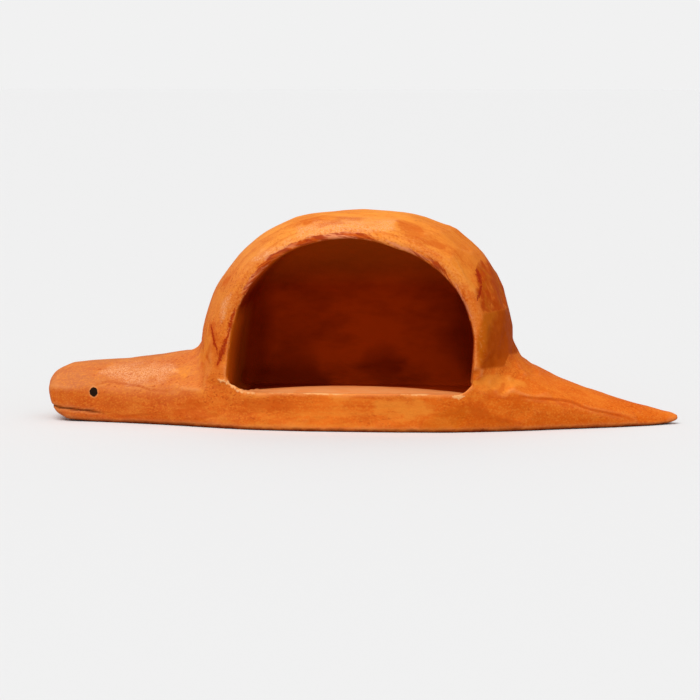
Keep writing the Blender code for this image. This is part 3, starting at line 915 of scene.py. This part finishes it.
def hollow_stain_and_shade(tree, place, tone, mottle, covers):
    """Dark red stain and painted shade in the hollow, paler at its left wall, its roof and its floor's
    front.
    """
    across = axis(tree, place, 0)
    # Painted shade deepens the whole hollow: its red, its dark patches, the broad dark strokes and the left
    # corner.
    hollow_patches = noise(tree, place, 40.0, 5.0, (0.6, 1.0, 1.4))
    cave = mixed(tree, ranged(tree, hollow_patches, 0.42, 0.70, 0.0, 0.8), HOLLOW_RED, DARK_STAIN_AND_SHADE)
    cave = mixed(tree, calc(tree, "MULTIPLY", covers["hollow_shade"], 0.75), cave, DARK_STAIN_AND_SHADE)
    cave = mixed(tree, ranged(tree, across, *LEFT_CORNER_SHADE, 0.0, 0.6), cave, DARK_STAIN_AND_SHADE)
    inward = axis(tree, place, 1)
    near = calc(tree, "MULTIPLY", ranged(tree, inward, 0.008, -0.026, 0.40, 0.90),
                ranged(tree, across, *LEFT_WALL))
    near = calc(tree, "MULTIPLY", near, ranged(tree, inward, 0.013, 0.009))
    cave = mixed(tree, near, cave, HOLLOW_LIGHT)
    cave = mixed(tree, ranged(tree, axis(tree, place, 2), *PALE_ROOF, 0.0, 0.75), cave, HOLLOW_LIGHT)
    tone = mixed(tree, share(tree, "hollow"), tone, cave)
    tan = mixed(tree, ranged(tree, mottle, 0.45, 0.65, 0.0, 0.4), FLOOR_TAN, ORANGE)
    return mixed(tree, share(tree, "floor"), tone, tan)


def painted_face(tree, place, tone, cells):
    """Black dot of the eye with a thin pale halo, and the dark line of the mouth."""
    tone = mixed(tree, calc(tree, "MULTIPLY", share(tree, "mouth"), 0.85), tone, PAINT)
    eye = vector(tree, "MULTIPLY", vector(tree, "SUBTRACT", place, (EYE[0], 0.0, EYE[1])),
                 (1 / EYE_HALF[0], 0.0, 1 / EYE_HALF[1]))
    ring = add(tree, "ShaderNodeVectorMath", {0: eye}, operation="LENGTH").outputs["Value"]
    ring = calc(tree, "ADD", ring, calc(tree, "MULTIPLY", calc(tree, "SUBTRACT", cells, 0.5), 0.5))
    tone = mixed(tree, ranged(tree, ring, 1.35, 1.15, 0.0, 0.35), tone, PEACH)
    return mixed(tree, ranged(tree, ring, 1.06, 0.94), tone, PAINT)


def stain_and_painted_light_material():
    material = bpy.data.materials.new("stained wood and painted light")
    material.use_nodes = True
    tree = material.node_tree
    shader = tree.nodes["Principled BSDF"]
    place = add(tree, "ShaderNodeTexCoord").outputs["Object"]
    covers = stroke_covers(tree, place)
    blotch = noise(tree, place, 60.0, 5.0, (0.6, 1.0, 1.2))
    mottle = noise(tree, place, 300.0, 4.0, (0.5, 1.0, 1.0))
    streak = brushed(tree, place, 330.0, 4.0)
    cells = noise(tree, place, 1400.0, 2.0, (0.8, 1.0, 1.0))
    tone = rubbed_stain_and_painted_light(tree, place, blotch, streak, cells)
    tone = marks_and_painted_light(tree, place, tone, mottle, cells, covers)
    tone = torn_wood(tree, place, tone, cells, covers)
    tone = hollow_stain_and_shade(tree, place, tone, mottle, covers)
    tone = painted_face(tree, place, tone, cells)
    tree.links.new(tone, shader.inputs["Base Color"])
    tree.links.new(ranged(tree, blotch, 0.3, 0.7, 0.42, 0.62), shader.inputs["Roughness"])
    shader.inputs["Specular IOR Level"].default_value = SHEEN
    shader.inputs["Specular Tint"].default_value = SHEEN_TINT
    relief = calc(tree, "ADD", calc(tree, "MULTIPLY", streak, 0.5), calc(tree, "MULTIPLY", cells, 0.5))
    bump = add(tree, "ShaderNodeBump",
               {"Height": relief, "Strength": RELIEF_STRENGTH, "Distance": RELIEF_DEPTH})
    tree.links.new(bump.outputs[0], shader.inputs["Normal"])
    return material


mark_flank_stain_and_shade(figurine.data)
mark_strokes(figurine.data)
run_tree(figurine, wear_tree(), {
    "Splinter Depth": SPLINTER_DEPTH,
    "Tooth Depth": TOOTH_DEPTH,
    "Material": stain_and_painted_light_material(),
})
thin_out(figurine, MOST_TRIANGLES)
figurine.data.shade_smooth()
figurine.name = "carved_wood"
figurine.data.name = "carved_wood"
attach(figurine, "root")
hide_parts("carved_animal")


# The stage: a pale seamless floor under a broad soft light from above, a weak one from the front
# and a pale sky.
FLOOR_SIZE = 12.0
PALE = 0.80
PALE_BOUNCE = 0.45
FLOOR_ROUGHNESS = 0.9
FLOOR_SHEEN = 0.1
SKY_SEEN = 0.88
SKY_GIVEN = 0.485
SUNS = (
    # name, how far round and how high it stands in degrees, strength, spread in degrees
    ("key", -32.0, 60.0, 1.90, 40.0),
    ("fill", 12.0, 28.0, 0.62, 90.0),
)


def floor():
    bm = bmesh.new()
    bmesh.ops.create_grid(bm, x_segments=1, y_segments=1, size=FLOOR_SIZE)
    mesh = bpy.data.meshes.new("floor")
    bm.to_mesh(mesh)
    bm.free()
    ground = as_object("floor", mesh)
    material = bpy.data.materials.new("pale floor")
    material.use_nodes = True
    tree = material.node_tree
    shader = tree.nodes["Principled BSDF"]
    seen = add(tree, "ShaderNodeLightPath").outputs["Is Camera Ray"]
    grey = mixed(tree, seen, (PALE_BOUNCE,) * 3 + (1.0,), (PALE,) * 3 + (1.0,))
    tree.links.new(grey, shader.inputs["Base Color"])
    shader.inputs["Roughness"].default_value = FLOOR_ROUGHNESS
    shader.inputs["Specular IOR Level"].default_value = FLOOR_SHEEN
    ground.data.materials.append(material)


def sky(seen, given):
    """Pale all round: a share of light for the object, and the paler tone that the camera sees."""
    world = bpy.data.worlds.new("studio")
    bpy.context.scene.world = world
    world.use_nodes = True
    tree = world.node_tree
    tree.nodes.clear()
    for_camera = add(tree, "ShaderNodeBackground", {"Color": (seen, seen, seen, 1.0), "Strength": 1.0})
    for_object = add(tree, "ShaderNodeBackground", {"Color": (1.0, 1.0, 1.0, 1.0), "Strength": given})
    ray = add(tree, "ShaderNodeLightPath").outputs["Is Camera Ray"]
    both = add(tree, "ShaderNodeMixShader", {0: ray, 1: for_object.outputs[0], 2: for_camera.outputs[0]})
    tree.links.new(both.outputs[0], add(tree, "ShaderNodeOutputWorld").inputs["Surface"])


def way_back(azimuth, elevation):
    """Direction from the object to a lamp or a camera, this far round and this high in degrees."""
    a, e = math.radians(azimuth), math.radians(elevation)
    return Vector((math.sin(a) * math.cos(e), -math.cos(a) * math.cos(e), math.sin(e)))


def aim(obj, back):
    obj.rotation_mode = "QUATERNION"
    obj.rotation_quaternion = back.to_track_quat("Z", "Y")


def sun(name, azimuth, elevation, strength, spread):
    light = bpy.data.lights.new(name, "SUN")
    light.energy = strength
    light.angle = math.radians(spread)
    lamp = bpy.data.objects.new(name, light)
    bpy.context.scene.collection.objects.link(lamp)
    aim(lamp, way_back(azimuth, elevation))


floor()
sky(SKY_SEEN, SKY_GIVEN)
for lamp in SUNS:
    sun(*lamp)
bpy.context.scene.view_settings.view_transform = "Standard"


# The camera: a little above the figurine and round towards its tail, with a long lens.
VIEW_AZIMUTH = 5.0
VIEW_ELEVATION = 6.0
VIEW_DISTANCE = 1.1
VIEW_TARGET = Vector((-0.005, 0.0, 0.028))
VIEW_SPAN = 0.2782


def camera():
    back = way_back(VIEW_AZIMUTH, VIEW_ELEVATION)
    lens = bpy.data.cameras.new("camera")
    lens.lens = lens.sensor_width * VIEW_DISTANCE / VIEW_SPAN
    eye = bpy.data.objects.new("camera", lens)
    bpy.context.scene.collection.objects.link(eye)
    eye.location = VIEW_TARGET + back * VIEW_DISTANCE
    aim(eye, back)
    bpy.context.scene.camera = eye


camera()
